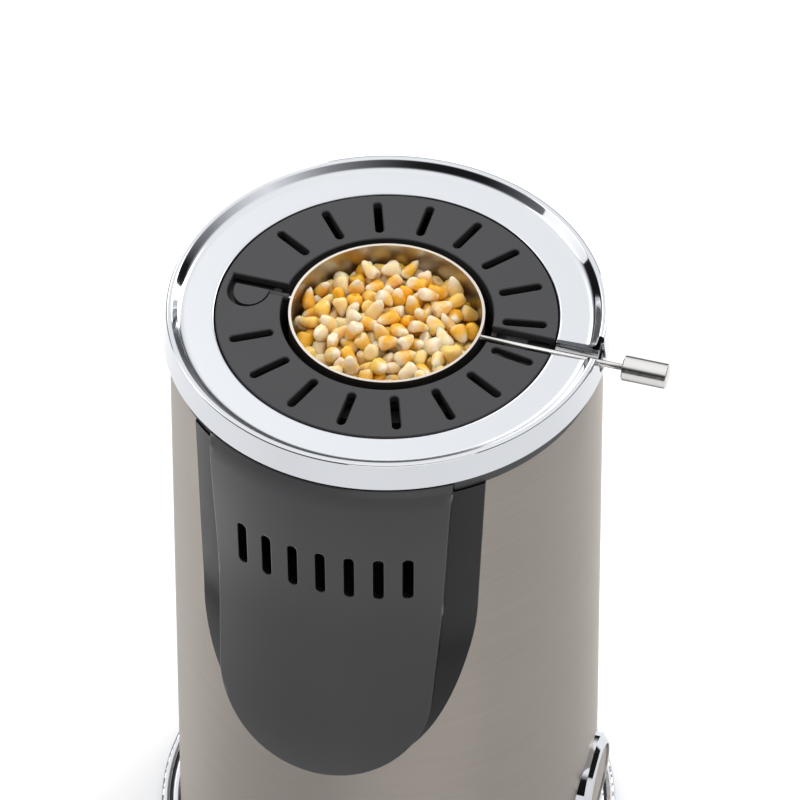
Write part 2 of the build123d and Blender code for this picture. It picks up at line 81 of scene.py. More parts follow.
def add_node(tree: bpy.types.NodeTree, kind: str, sockets: dict | None = None, **settings: object) -> bpy.types.Node:
    """Adds one shader node with its settings and links.

    Args:
        tree: the node tree it goes in.
        kind: the node's type name.
        sockets: input name or number to a plain value, or to the output socket that feeds it.
        settings: the node's own properties.

    Returns:
        The new node.
    """
    node = tree.nodes.new(kind)
    for name, value in settings.items():
        setattr(node, name, value)
    for name, value in (sockets or {}).items():
        if isinstance(value, bpy.types.NodeSocket):
            tree.links.new(value, node.inputs[name])
        else:
            node.inputs[name].default_value = value
    return node


def shade_stops(ramp: bpy.types.Node, *stops: tuple[float, str]) -> None:
    """Sets a colour ramp's stops.

    Args:
        ramp: the Color Ramp node.
        stops: (position, hex colour) pairs from low to high.
    """
    elements = ramp.color_ramp.elements
    while len(elements) < len(stops):
        elements.new(1.0)
    for element, (position, colour) in zip(elements, stops):
        element.position = position
        element.color = linear(colour)


def new_material(name: str, **shader: object) -> tuple[bpy.types.Material, bpy.types.NodeTree, bpy.types.Node]:
    """Starts a material that holds one Principled shader.

    Args:
        name: what the real material is and how it was made.
        shader: the shader's constant inputs, with underscores for spaces.

    Returns:
        The material, its node tree and its shader.
    """
    material = bpy.data.materials.new(name)
    material.use_nodes = True
    tree = material.node_tree
    principled = tree.nodes["Principled BSDF"]
    for key, value in shader.items():
        principled.inputs[key.replace("_", " ")].default_value = value
    return material, tree, principled


# ---------------------------------------------------------------------------------------------- finishes


@dataclass(frozen=True)
class PolishedChrome:
    """Chromed steel pressing: a clear mirror with faint smears, and a satin dish inside its polished lip."""

    colour: str = "#C9CBCE"
    roughness: float = 0.04
    satin_roughness: float = 0.2
    satin_radius: float = 0.0  # metres from the axis, inside which the metal is satin
    smear_mm: float = 25.0
    smear_rise: float = 1.8  # how many times rougher a smear is
    satin_edge_mm: float = 2.0  # width of the change from satin to polish

    def make(self) -> bpy.types.Material:
        """Builds the material."""
        name = "chromed_steel_satin_dish" if self.satin_radius else "chromed_steel_polished"
        material, tree, shader = new_material(name, Metallic=1.0, Base_Color=linear(self.colour))
        place = add_node(tree, "ShaderNodeTexCoord").outputs["Object"]
        smear = add_node(tree, "ShaderNodeTexNoise", {"Vector": place, "Scale": 1 / (self.smear_mm * MM),
                                                      "Detail": 5.0})
        rough = add_node(tree, "ShaderNodeMapRange", {"Value": smear.outputs["Fac"], "From Min": 0.35,
                                                     "From Max": 0.7, "To Min": self.roughness,
                                                     "To Max": self.roughness * self.smear_rise})
        result = rough.outputs["Result"]
        if self.satin_radius:
            flat = add_node(tree, "ShaderNodeVectorMath", {0: place, 1: (1, 1, 0)}, operation="MULTIPLY")
            reach = add_node(tree, "ShaderNodeVectorMath", {0: flat.outputs["Vector"]}, operation="LENGTH")
            satin = add_node(tree, "ShaderNodeMapRange", {"Value": reach.outputs["Value"],
                                                         "From Min": self.satin_radius - self.satin_edge_mm * MM,
                                                         "From Max": self.satin_radius, "To Min": 1.0, "To Max": 0.0})
            both = add_node(tree, "ShaderNodeMix", {"Factor": satin.outputs["Result"], "A": result,
                                                    "B": self.satin_roughness})
            result = both.outputs["Result"]
        tree.links.new(result, shader.inputs["Roughness"])
        return material


@dataclass(frozen=True)
class BrushedSheetSteel:
    """Stainless sheet brushed round the body: fine level hairlines that stretch each highlight up and down."""

    colour_dark: str = "#979089"
    colour_light: str = "#9F9890"
    hairline_mm: float = 0.3  # real hairlines are finer; this is as coarse as they need to show
    stroke_mm: float = 40.0
    cloud_mm: float = 55.56
    depth_mm: float = 0.02

    def make(self) -> bpy.types.Material:
        """Builds the material."""
        material, tree, shader = new_material("stainless_sheet_brushed", Metallic=1.0, Anisotropic=0.85,
                                              Anisotropic_Rotation=0.25)
        place = add_node(tree, "ShaderNodeTexCoord").outputs["Object"]
        fine, long = 1 / (self.hairline_mm * MM), 1 / (self.stroke_mm * MM)
        stretched = add_node(tree, "ShaderNodeMapping", {"Vector": place, "Scale": (long, long, fine)})
        hairline = add_node(tree, "ShaderNodeTexNoise", {"Vector": stretched.outputs["Vector"], "Scale": 1.0,
                                                         "Detail": 3.0, "Roughness": 0.6})
        cloud = add_node(tree, "ShaderNodeTexNoise", {"Vector": place, "Scale": 1 / (self.cloud_mm * MM),
                                                      "Detail": 2.0})
        ramp = add_node(tree, "ShaderNodeValToRGB", {"Fac": hairline.outputs["Fac"]})
        shade_stops(ramp, (0.3, self.colour_dark), (0.7, self.colour_light))
        rough = add_node(tree, "ShaderNodeMapRange", {"Value": cloud.outputs["Fac"], "To Min": 0.4, "To Max": 0.48})
        bump = add_node(tree, "ShaderNodeBump", {"Height": hairline.outputs["Fac"], "Strength": 0.03,
                                                 "Distance": self.depth_mm * MM})
        brushing = add_node(tree, "ShaderNodeTangent", direction_type="RADIAL", axis="Z")
        tree.links.new(ramp.outputs["Color"], shader.inputs["Base Color"])
        tree.links.new(rough.outputs["Result"], shader.inputs["Roughness"])
        tree.links.new(bump.outputs["Normal"], shader.inputs["Normal"])
        tree.links.new(brushing.outputs["Tangent"], shader.inputs["Tangent"])
        return material


@dataclass(frozen=True)
class TurnedSteel:
    """Stainless turned or spun in a lathe: bright, with faint tool rings round the axis it turned about."""

    name: str = "stainless_turned"
    colour: str = "#CFCDCA"
    smooth_roughness: float = 0.12
    ring_roughness: float = 0.26
    ring_mm: tuple[float, float, float] = (0.303, 16.67, 16.67)  # a ring's size along X, Y and Z
    depth_mm: float = 0.02

    def make(self) -> bpy.types.Material:
        """Builds the material."""
        material, tree, shader = new_material(self.name, Metallic=1.0, Base_Color=linear(self.colour))
        place = add_node(tree, "ShaderNodeTexCoord").outputs["Object"]
        per_metre = tuple(1 / (size * MM) for size in self.ring_mm)
        squeezed = add_node(tree, "ShaderNodeMapping", {"Vector": place, "Scale": per_metre})
        ring = add_node(tree, "ShaderNodeTexNoise", {"Vector": squeezed.outputs["Vector"], "Scale": 1.0,
                                                     "Detail": 2.0})
        rough = add_node(tree, "ShaderNodeMapRange", {"Value": ring.outputs["Fac"], "To Min": self.smooth_roughness,
                                                     "To Max": self.ring_roughness})
        bump = add_node(tree, "ShaderNodeBump", {"Height": ring.outputs["Fac"], "Strength": 0.1,
                                                 "Distance": self.depth_mm * MM})
        tree.links.new(rough.outputs["Result"], shader.inputs["Roughness"])
        tree.links.new(bump.outputs["Normal"], shader.inputs["Normal"])
        return material


@dataclass(frozen=True)
class MouldedPlastic:
    """Moulded plastic: a spark-eroded grain over a coloured body, with faint handling marks."""

    name: str
    colour: str
    colour_worn: str
    roughness: float
    grain_mm: float = 0.25
    grain_depth_mm: float = 0.02
    shine: float = 0.5  # specular level, 0.5 for ordinary plastic
    mark_mm: float = 22.22
    mark_share: float = 0.12  # of the roughness, how far the marks move it either way

    def make(self) -> bpy.types.Material:
        """Builds the material."""
        material, tree, shader = new_material(self.name, IOR=1.54, Specular_IOR_Level=self.shine)
        place = add_node(tree, "ShaderNodeTexCoord").outputs["Object"]
        grain = add_node(tree, "ShaderNodeTexNoise", {"Vector": place, "Scale": 1 / (self.grain_mm * MM),
                                                      "Detail": 2.0})
        marks = add_node(tree, "ShaderNodeTexNoise", {"Vector": place, "Scale": 1 / (self.mark_mm * MM),
                                                      "Detail": 6.0, "Roughness": 0.65})
        ramp = add_node(tree, "ShaderNodeValToRGB", {"Fac": marks.outputs["Fac"]})
        shade_stops(ramp, (0.4, self.colour), (0.72, self.colour_worn))
        rough = add_node(tree, "ShaderNodeMapRange", {"Value": marks.outputs["Fac"], "From Min": 0.3,
                                                     "From Max": 0.7,
                                                     "To Min": self.roughness * (1 - self.mark_share),
                                                     "To Max": self.roughness * (1 + self.mark_share)})
        bump = add_node(tree, "ShaderNodeBump", {"Height": grain.outputs["Fac"], "Strength": 0.35,
                                                 "Distance": self.grain_depth_mm * MM})
        tree.links.new(ramp.outputs["Color"], shader.inputs["Base Color"])
        tree.links.new(rough.outputs["Result"], shader.inputs["Roughness"])
        tree.links.new(bump.outputs["Normal"], shader.inputs["Normal"])
        return material


@dataclass(frozen=True)
class SmokedPolycarbonate:
    """Smoked polycarbonate, gloss moulded: near-black body under a clear skin that carries sharp reflections."""

    colour: str = "#131315"
    colour_hazed: str = "#19191C"
    edge_mm: float = 0.6  # radius of the soft round on its edges
    edge_samples: int = 6
    haze_mm: float = 45.45

    def make(self) -> bpy.types.Material:
        """Builds the material."""
        material, tree, shader = new_material("polycarbonate_smoked_gloss", IOR=1.52)
        place = add_node(tree, "ShaderNodeTexCoord").outputs["Object"]
        haze = add_node(tree, "ShaderNodeTexNoise", {"Vector": place, "Scale": 1 / (self.haze_mm * MM),
                                                     "Detail": 3.0})
        ramp = add_node(tree, "ShaderNodeValToRGB", {"Fac": haze.outputs["Fac"]})
        shade_stops(ramp, (0.35, self.colour), (0.7, self.colour_hazed))
        rough = add_node(tree, "ShaderNodeMapRange", {"Value": haze.outputs["Fac"], "To Min": 0.02, "To Max": 0.06})
        edge = add_node(tree, "ShaderNodeBevel", {"Radius": self.edge_mm * MM}, samples=self.edge_samples)
        tree.links.new(edge.outputs["Normal"], shader.inputs["Normal"])
        tree.links.new(ramp.outputs["Color"], shader.inputs["Base Color"])
        tree.links.new(rough.outputs["Result"], shader.inputs["Roughness"])
        return material


@dataclass(frozen=True)
class PlainMetal:
    """Inner metal, spun, drawn or plated: even colour with soft blotches."""

    name: str
    colour_dark: str
    colour_light: str
    roughness: float
    blotch_mm: float = 8.0
    blotch_share: float = 0.2  # of the roughness, how far the blotches move it either way

    def make(self) -> bpy.types.Material:
        """Builds the material."""
        material, tree, shader = new_material(self.name, Metallic=1.0)
        place = add_node(tree, "ShaderNodeTexCoord").outputs["Object"]
        blotch = add_node(tree, "ShaderNodeTexNoise", {"Vector": place, "Scale": 1 / (self.blotch_mm * MM),
                                                       "Detail": 6.0})
        ramp = add_node(tree, "ShaderNodeValToRGB", {"Fac": blotch.outputs["Fac"]})
        shade_stops(ramp, (0.35, self.colour_dark), (0.65, self.colour_light))
        rough = add_node(tree, "ShaderNodeMapRange", {"Value": blotch.outputs["Fac"],
                                                     "To Min": self.roughness * (1 - self.blotch_share),
                                                     "To Max": self.roughness * (1 + self.blotch_share)})
        tree.links.new(ramp.outputs["Color"], shader.inputs["Base Color"])
        tree.links.new(rough.outputs["Result"], shader.inputs["Roughness"])
        return material


@dataclass(frozen=True)
class DriedCorn:
    """Dry maize kernels: waxy golden skins that let light in, and starchy cream at the tip and crown."""

    wax_roughness: float = 0.3
    light_reach: float = 2.2 * MM  # how far light travels under the skin
    fleck_mm: float = 2.381

    def make(self) -> bpy.types.Material:
        """Builds the material. It reads the tint and starch attributes that the kernels' mesh carries."""
        material, tree, shader = new_material("maize_kernel_dried", IOR=1.45, Subsurface_Weight=0.7,
                                              Subsurface_Radius=(1.0, 0.55, 0.15),
                                              Subsurface_Scale=self.light_reach, Roughness=self.wax_roughness)
        tint = add_node(tree, "ShaderNodeAttribute", attribute_name="tint")
        starch = add_node(tree, "ShaderNodeAttribute", attribute_name="starch")
        place = add_node(tree, "ShaderNodeTexCoord").outputs["Object"]
        fleck = add_node(tree, "ShaderNodeTexNoise", {"Vector": place, "Scale": 1 / (self.fleck_mm * MM),
                                                      "Detail": 3.0})
        skin = add_node(tree, "ShaderNodeValToRGB", {"Fac": tint.outputs["Fac"]})
        shade_stops(skin, (0.0, "#F2B01A"), (0.35, "#F5C03C"), (0.7, "#F4CE74"), (1.0, "#F2DEB4"))
        patch = add_node(tree, "ShaderNodeMath", {0: starch.outputs["Fac"], 1: fleck.outputs["Fac"]},
                         operation="ADD")
        cream = add_node(tree, "ShaderNodeMapRange", {"Value": patch.outputs["Value"], "From Min": 0.6,
                                                      "From Max": 1.2})
        colour = add_node(tree, "ShaderNodeMix", {"Factor": cream.outputs["Result"], "A": skin.outputs["Color"],
                                                  "B": linear("#F2E3C8")}, data_type="RGBA")
        tree.links.new(colour.outputs["Result"], shader.inputs["Base Color"])
        return material


class Finish(Enum):
    """The finishes that the pieces are dressed in."""

    # bright mirrors that carry the dark of the room as sharp bands
    CHROME = PolishedChrome()
    DISH_CHROME = PolishedChrome(satin_radius=75.5 * MM)
    # warm greys: a broad soft light down the body, sharp lines along the rod, an even glow in the cup
    BODY_STEEL = BrushedSheetSteel()
    ROD_STEEL = TurnedSteel()
    CUP_STEEL = TurnedSteel("stainless_spun_satin", "#C9C1B6", smooth_roughness=0.26, ring_roughness=0.36,
                            ring_mm=(16.67, 16.67, 0.625))
    # blacks: a dull charcoal, a wet-looking black that stays dark, and the shield's dark glass
    MATTE_BLACK = MouldedPlastic("abs_black_spark_textured", "#252527", "#2D2D2F", 0.55)
    GLOSS_BLACK = MouldedPlastic("abs_black_gloss_moulded", "#0A0A0B", "#0E0E0F", 0.22, grain_mm=0.5,
                                 grain_depth_mm=0.002, shine=0.2)
    SMOKED = SmokedPolycarbonate()
    # inner parts, plain and unpolished
    ALUMINIUM = PlainMetal("aluminium_spun", "#B4B5B7", "#C9CACB", 0.3)
    ZINC = PlainMetal("steel_zinc_plated", "#8F939A", "#A9ABAF", 0.4, blotch_mm=4.0)
    HEATING_WIRE = PlainMetal("nickel_chromium_wire_oxidised", "#3F3A38", "#5A5350", 0.55, blotch_mm=3.0)
    MICA = MouldedPlastic("mica_sheet_pressed", "#A89A78", "#BBAF90", 0.4, grain_mm=1.5, grain_depth_mm=0.03)
    RUBBER = MouldedPlastic("rubber_black_moulded", "#19191A", "#232324", 0.75, grain_mm=0.4, grain_depth_mm=0.03)
    LAMINATE = MouldedPlastic("phenolic_board_pressed", "#6B4A24", "#7A5730", 0.5, grain_mm=0.4,
                              grain_depth_mm=0.01)
    EPOXY = MouldedPlastic("epoxy_black_moulded", "#1C1C20", "#26262A", 0.42, grain_mm=0.3, grain_depth_mm=0.01)
    # golden and cream skins with a soft glow inside
    CORN = DriedCorn()


# ---------------------------------------------------------------------------------------------- meshes


def surface(name: str, points: np.ndarray, faces: list[list[int]], material: bpy.types.Material) -> bpy.types.Object:
    """Makes a smooth-shaded mesh object at the origin.

    Args:
        name: the piece's name.
        points: (n, 3) places in metres.
        faces: corner numbers of each face, turning anticlockwise seen from outside.
        material: its finish.

    Returns:
        The new object, in the scene.
    """
    mesh = bpy.data.meshes.new(name)
    mesh.from_pydata(points.tolist(), [], faces)
    mesh.polygons.foreach_set("use_smooth", np.ones(len(faces), bool))
    mesh.materials.append(material)
    piece = bpy.data.objects.new(name, mesh)
    bpy.context.scene.collection.objects.link(piece)
    return piece


# ---------------------------------------------------------------------------------------------- sub-assemblies


@dataclass
class SubAssembly:
    """Pieces that belong together: the CAD's own nodes, dressed, and finished copies of those most seen."""

    made: dict[Finish, bpy.types.Material] = field(default_factory=dict)
    copy_crease: float = 28.0  # degrees above which an edge of a welded copy stays sharp

    def material(self, finish: Finish) -> bpy.types.Material:
        """Makes a finish's material, or finds it made."""
        if finish not in self.made:
            self.made[finish] = finish.value.make()
        return self.made[finish]

    def dress(self, finish: Finish, *nodes: str) -> None:
        """Gives CAD nodes a finish.

        Args:
            finish: the finish.
            nodes: the nodes' names.
        """
        for node in nodes:
            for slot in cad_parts[node].material_slots:
                slot.material = self.material(finish)
            log.info("%s: %s", node, self.material(finish).name)

    def refine(self, finish: Finish, body: BodyName, *nodes: str) -> None:
        """Stands a welded, smooth copy in for each CAD node, so that its gloss runs on across the facets.

        Args:
            finish: the finish.
            body: the body that the nodes belong to.
            nodes: the nodes' names.
        """
        for node in nodes:
            work = bmesh.new()
            work.from_mesh(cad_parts[node].data)
            bmesh.ops.remove_doubles(work, verts=work.verts, dist=COPY_WELD)
            mesh = bpy.data.meshes.new(f"{node}_finished")
            work.to_mesh(mesh)
            work.free()
            mesh.polygons.foreach_set("use_smooth", np.ones(len(mesh.polygons), bool))
            mesh.set_sharp_from_angle(angle=radians(self.copy_crease))
            mesh.materials.clear()
            mesh.materials.append(self.material(finish))
            piece = bpy.data.objects.new(f"{node}_finished", mesh)
            bpy.context.scene.collection.objects.link(piece)
            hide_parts(node)
            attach(piece, body.value)
            log.info("%s: %s, %d faces", piece.name, self.material(finish).name, len(mesh.polygons))


@dataclass
class Base(SubAssembly):
    """Base pan with its foot, bright rings, screws and cord inlet."""

    def build(self) -> None:
        """Dresses the base."""
        self.dress(Finish.RUBBER, "foot_ring")
        self.dress(Finish.MATTE_BLACK, "base_pan", "cord_gland")
        self.dress(Finish.ZINC, "base_screws")
        self.refine(Finish.CHROME, BodyName.HOUSING, "base_bead_ring", "base_trim_ring")


@dataclass
class OuterBody(SubAssembly):
    """Steel shell and the black collar that closes it at the top."""

    def build(self) -> None:
        """Dresses the shell and collar."""
        self.refine(Finish.BODY_STEEL, BodyName.HOUSING, "body_shell")
        self.dress(Finish.MATTE_BLACK, "neck_collar")


@dataclass
class Chute(SubAssembly):
    """Black front panel, smoked shield and the duct behind them."""

    def build(self) -> None:
        """Dresses the chute."""
        self.dress(Finish.GLOSS_BLACK, "chute_surround")
        self.refine(Finish.SMOKED, BodyName.HOUSING, "chute_shield")
        self.dress(Finish.MATTE_BLACK, "chute_duct")


@dataclass
class Heater(SubAssembly):
    """Popping chamber with its heating coil, air sleeve and cut-outs."""

    def build(self) -> None:
        """Dresses the hot parts."""
        self.dress(Finish.ALUMINIUM, "popping_chamber", "chamber_floor")
        self.dress(Finish.MICA, "heater_frame")
        self.dress(Finish.HEATING_WIRE, "heater_coil")
        self.dress(Finish.ZINC, "air_sleeve", "thermal_fuse")
        self.dress(Finish.EPOXY, "thermostat")


@dataclass
class Drive(SubAssembly):
    """Fan, motor and the small circuit board that feeds it."""

    def build(self) -> None:
        """Dresses the drive."""
        self.dress(Finish.MATTE_BLACK, "fan_deck")
        self.dress(Finish.ZINC, "motor_body", "motor_bracket", "motor_screws")
        self.dress(Finish.ROD_STEEL, "motor_shaft")
        self.dress(Finish.ALUMINIUM, "fan_impeller")
        self.dress(Finish.LAMINATE, "rectifier_board")
        self.dress(Finish.EPOXY, "board_components")


@dataclass
class PowerButton(SubAssembly):
    """Round push button in its bright bezel, and the switch behind it."""

    def build(self) -> None:
        """Dresses the button."""
        self.refine(Finish.CHROME, BodyName.HOUSING, "button_bezel")
        self.refine(Finish.BODY_STEEL, BodyName.BUTTON, "power_button")
        self.dress(Finish.MATTE_BLACK, "power_switch")


@dataclass
class Lid(SubAssembly):
    """Chromed lid with its black grille, and the trough and bearings for the cup's rod.

    The cover's profiles are (radius, height, corner radius) in millimetres, from the grille outwards.
    """

    outside: tuple[tuple[float, float, float], ...] = ((62.3, 291.2, 0), (62.3, 292.1, 0.8), (74.4, 292.6, 3.2),
                                                       (77.5, 296.1, 0.9), (79.4, 296.1, 0.9), (81.1, 285.7, 0))
    inside: tuple[tuple[float, float, float], ...] = ((62.3, 290.7, 0), (75.4, 291.6, 0), (78.1, 294.4, 0),
                                                      (78.6, 294.4, 0), (80.0, 285.7, 0))
    profile_steps: int = 96
    turns: int = 256
    slot_half_width: float = 4.0
    # (height, half width) of the notch that the rod leaves through, round at its foot
    notch: tuple[tuple[float, float], ...] = ((287.39, 0), (287.4, 2.6), (287.9, 3.8), (289, 4.2),
                                              (293.4, 4.4), (298, 7))
    notch_radius: float = 77.0  # beyond it the slot has the notch's width at each height
    corner_points: int = 12  # along each rounded corner
    crease: float = 35.0  # degrees above which an edge of the cover stays sharp

    def profile(self, corners: tuple[tuple[float, float, float], ...]) -> np.ndarray:
        """Runs evenly spaced points along a profile whose corners are rounded.

        A rounded corner is the curve (1-t)^2 A + 2t(1-t) C + t^2 B from A, before corner C, to B, after it.

        Args:
            corners: (radius, height, corner radius) of each corner.

        Returns:
            (profile_steps, 2) radius and height in millimetres.
        """
        place = np.array([corner[:2] for corner in corners], float)
        runs = [place[:1]]
        t = np.linspace(0, 1, self.corner_points)[:, None]
        for number in range(1, len(place) - 1):
            back, ahead = place[number - 1] - place[number], place[number + 1] - place[number]
            back, ahead = back / np.linalg.norm(back), ahead / np.linalg.norm(ahead)
            half_turn = (np.pi - np.arccos(np.clip(back @ ahead, -1, 1))) / 2
            reach = corners[number][2] * np.tan(half_turn)
            start, end = place[number] + back * reach, place[number] + ahead * reach
            runs.append((1 - t) ** 2 * start + 2 * t * (1 - t) * place[number] + t**2 * end)
        line = np.vstack([*runs, place[-1:]])
        along = np.concatenate([[0], np.cumsum(np.linalg.norm(np.diff(line, axis=0), axis=1))])
        even = np.linspace(0, along[-1], self.profile_steps)
        return np.stack([np.interp(even, along, line[:, 0]), np.interp(even, along, line[:, 1])], 1)

    def cover(self) -> None:
        """Turns the cover's profile round the axis, from the rod slot's one edge to its other.

        Row k of the closed profile, at radius r and height z, runs from angle a to 2 pi - a, where sin a is the
        slot's half width at that height over r. The slot's ends join the outside to the inside.
        """
        outer, inner = self.profile(self.outside), self.profile(self.inside)
        radius, height = np.vstack([outer, inner[::-1]]).T
        widths = np.array(self.notch)
        notched = np.interp(height, widths[:, 0], widths[:, 1])
        half = np.where(radius < self.notch_radius, self.slot_half_width, notched)
        edge = np.arcsin(half / radius)
        share = np.linspace(0, 1, self.turns + 1)
        angle = edge[:, None] + share[None] * (2 * np.pi - 2 * edge[:, None])
        points = np.stack([radius[:, None] * np.cos(angle), radius[:, None] * np.sin(angle),
                           np.repeat(height[:, None], self.turns + 1, 1)], 2) * MM
        rows, columns = angle.shape
        row, col = np.meshgrid(np.arange(rows), np.arange(columns - 1), indexing="ij")
        below = (row + 1) % rows
        walls = np.stack([row * columns + col, below * columns + col, below * columns + col + 1,
                          row * columns + col + 1], 2).reshape(-1, 4)
        near = np.arange(self.profile_steps - 1)
        far = rows - 1 - near
        open_here = np.stack([edge[near], edge[near + 1], edge[far], edge[far - 1]]).max(0) > 0
        near, far = near[open_here], far[open_here]
        ends = [np.stack([near, near + 1, far - 1, far], 1) * columns + column for column in (0, columns - 1)]
        piece = surface("lid_cover_turned", points.reshape(-1, 3), np.vstack([walls, *ends]).tolist(),
                        self.material(Finish.DISH_CHROME))
        work = bmesh.new()
        work.from_mesh(piece.data)
        bmesh.ops.remove_doubles(work, verts=work.verts, dist=TURNED_WELD)
        bmesh.ops.recalc_face_normals(work, faces=work.faces)
        work.to_mesh(piece.data)
        work.free()
        piece.data.set_sharp_from_angle(angle=radians(self.crease))
        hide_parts("lid_cover")
        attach(piece, BodyName.LID.value)
        log.info("lid_cover_turned: %d faces", len(piece.data.polygons))

    def build(self) -> None:
        """Makes and dresses the lid."""
        self.cover()
        self.refine(Finish.CHROME, BodyName.LID, "rod_channel")
        self.dress(Finish.MATTE_BLACK, "grille_plate", "lid_pan", "rod_saddle_right", "rod_saddle_left")


@dataclass
class Cup(SubAssembly):
    """Tipping cup with its rod, knob, pin and stop paddle, and the dry kernels that fill it."""

    count: int = 400
    ball_radius: float = 3.2 * MM  # of a ball that takes a kernel's room
    wall_radius: float = 34.5 * MM
    floor_z: float = 265.8 * MM
    fillet: float = 14.2 * MM
    drop_height: float = 36 * MM
    settle_steps: int = 260
    fade_steps: int = 300  # steps over which the drop would fade to nothing
    fall: float = 0.25 * MM  # that each ball drops in the first step
    packing: float = 0.97  # of two touching balls' distance, the share that is kept free
    push: float = 0.7  # of each overlap, the share that one step clears
    seed: int = 7
    rings: int = 7
    spokes: int = 10
    # least and most of a kernel's half width, half thickness and half length
    half_width_mm: tuple[float, float] = (3.0, 3.8)
    half_thickness_mm: tuple[float, float] = (2.2, 2.9)
    half_length_mm: tuple[float, float] = (3.5, 4.5)
    # in half-lengths: how far the rings reach each way, and where the kernel closes at each end
    crown_reach: float = 0.88
    tip_reach: float = 1.15
    crown_end: float = 0.78
    tip_end: float = -1.22
    deepest_dent: float = 0.42
    dent_spread: float = 0.12
    widest_bow: float = 0.3
    lumps: float = 0.03
    starchy_range: tuple[float, float] = (-0.4, 1.0)  # below zero a kernel's crown has no cream
    starch_spread: float = 0.12

    def settle(self, draw: np.random.Generator) -> np.ndarray:
        """Drops balls into the cup and pushes them apart until they rest.

        Each step lowers every ball a little, moves each overlapping pair apart by a share of its overlap, and
        moves a ball that meets the wall, the floor or the round between them back inside.

        Args:
            draw: the random generator.

        Returns:
            (count, 3) centres in metres.
        """
        r = self.ball_radius
        angle = draw.uniform(0, 2 * np.pi, self.count)
        reach = (self.wall_radius - 2 * r) * np.sqrt(draw.uniform(0, 1, self.count))
        centre = np.stack([reach * np.cos(angle), reach * np.sin(angle),
                           self.floor_z + r + draw.uniform(0, self.drop_height, self.count)], 1)
        corner_r, corner_z = self.wall_radius - self.fillet, self.floor_z + self.fillet
        for step in range(self.settle_steps):
            centre[:, 2] -= self.fall * (1 - step / self.fade_steps)
            apart = centre[:, None] - centre[None]
            distance = np.linalg.norm(apart, axis=2) + np.eye(self.count)
            overlap = np.clip(2 * r * self.packing - distance, 0, None) * (1 - np.eye(self.count))
            centre += (apart / distance[..., None] * overlap[..., None] * 0.5).sum(1) * self.push
            centre[:, 2] = np.maximum(centre[:, 2], self.floor_z + r)
            radial = np.linalg.norm(centre[:, :2], axis=1) + TINY
            low = (centre[:, 2] < corner_z) & (radial > corner_r)
            depth = np.hypot(radial - corner_r, corner_z - centre[:, 2]) + TINY
            pull = np.where(low, np.minimum(1, (self.fillet - r) / depth), 1)
            in_cup = np.minimum(radial, self.wall_radius - r)
            new_radial = np.where(low, corner_r + (radial - corner_r) * pull, in_cup)
            centre[:, 2] = np.where(low, corner_z - (corner_z - centre[:, 2]) * pull, centre[:, 2])
            centre[:, :2] *= (new_radial / radial)[:, None]
        return centre

    def kernel_grid(self) -> tuple[np.ndarray, np.ndarray, np.ndarray]:
        """One kernel as a closed grid of rings from crown to tip.

        A ring at angle a from the crown lies at cos a along the kernel, times the reach of its own end, and its
        radius is (sin a)^0.8 (1 + 0.3 cos a - 0.1 sin^2 a): full at the crown and narrowing to a blunt tip.

        Returns:
            (rings * spokes + 2, 3) places of a kernel of unit half-length, its quads, and its end triangles.
        """
        polar = np.linspace(0, np.pi, self.rings + 2)[1:-1]
        turn = np.arange(self.spokes) * 2 * np.pi / self.spokes
        width = np.sin(polar) ** 0.8 * (1 + 0.3 * np.cos(polar) - 0.1 * np.sin(polar) ** 2)
        along = np.cos(polar) * np.where(polar > np.pi / 2, self.tip_reach, self.crown_reach)
        ring = np.stack([width[:, None] * np.cos(turn), width[:, None] * np.sin(turn),
                         np.repeat(along[:, None], self.spokes, 1)], 2).reshape(-1, 3)
        points = np.vstack([ring, [[0, 0, self.crown_end], [0, 0, self.tip_end]]])
        row, col = np.meshgrid(np.arange(self.rings - 1), np.arange(self.spokes), indexing="ij")
        near, far = col, (col + 1) % self.spokes
        quads = np.stack([row * self.spokes + near, (row + 1) * self.spokes + near,
                          (row + 1) * self.spokes + far, row * self.spokes + far], 2).reshape(-1, 4)
        col = np.arange(self.spokes)
        crown, tip, last = len(points) - 2, len(points) - 1, (self.rings - 1) * self.spokes
        caps = np.vstack([
            np.stack([np.full_like(col, crown), col, (col + 1) % self.spokes], 1),
            np.stack([np.full_like(col, tip), last + (col + 1) % self.spokes, last + col], 1),
        ])
        return points, quads, caps

    def shape_kernels(self, unit: np.ndarray, draw: np.random.Generator) -> np.ndarray:
        """Makes every kernel a little different.

        Each one gets its own width, thickness and length, a crown dented by a bell curve round its axis, a
        sideways bow of one minus the square of its place along the axis, and a few percent of noise.

        Args:
            unit: the unit kernel's places.
            draw: the random generator.

        Returns:
            (count, places, 3) offsets from each kernel's centre in metres.
        """
        size = np.stack([draw.uniform(*self.half_width_mm, self.count),
                         draw.uniform(*self.half_thickness_mm, self.count),
                         draw.uniform(*self.half_length_mm, self.count)], 1) * MM
        shape = np.repeat(unit[None], self.count, 0)
        dent = draw.uniform(0, self.deepest_dent, self.count)[:, None]
        off_axis = unit[:, 0] ** 2 + 0.4 * unit[:, 1] ** 2
        shape[:, :, 2] -= dent * np.exp(-off_axis / self.dent_spread) * (unit[:, 2] > 0.3)
        bow = draw.uniform(-self.widest_bow, self.widest_bow, self.count)[:, None]
        shape[:, :, 1] += bow * (1 - unit[:, 2] ** 2)
        shape += draw.normal(0, self.lumps, shape.shape)
        quaternion = draw.normal(size=(self.count, 4))
        w, x, y, z = (quaternion / np.linalg.norm(quaternion, axis=1)[:, None]).T
        turn = np.stack([1 - 2 * (y * y + z * z), 2 * (x * y - z * w), 2 * (x * z + y * w),
                         2 * (x * y + z * w), 1 - 2 * (x * x + z * z), 2 * (y * z - x * w),
                         2 * (x * z - y * w), 2 * (y * z + x * w), 1 - 2 * (x * x + y * y)], 1).reshape(-1, 3, 3)
        return np.einsum("kij,kpj->kpi", turn, shape * size[:, None])

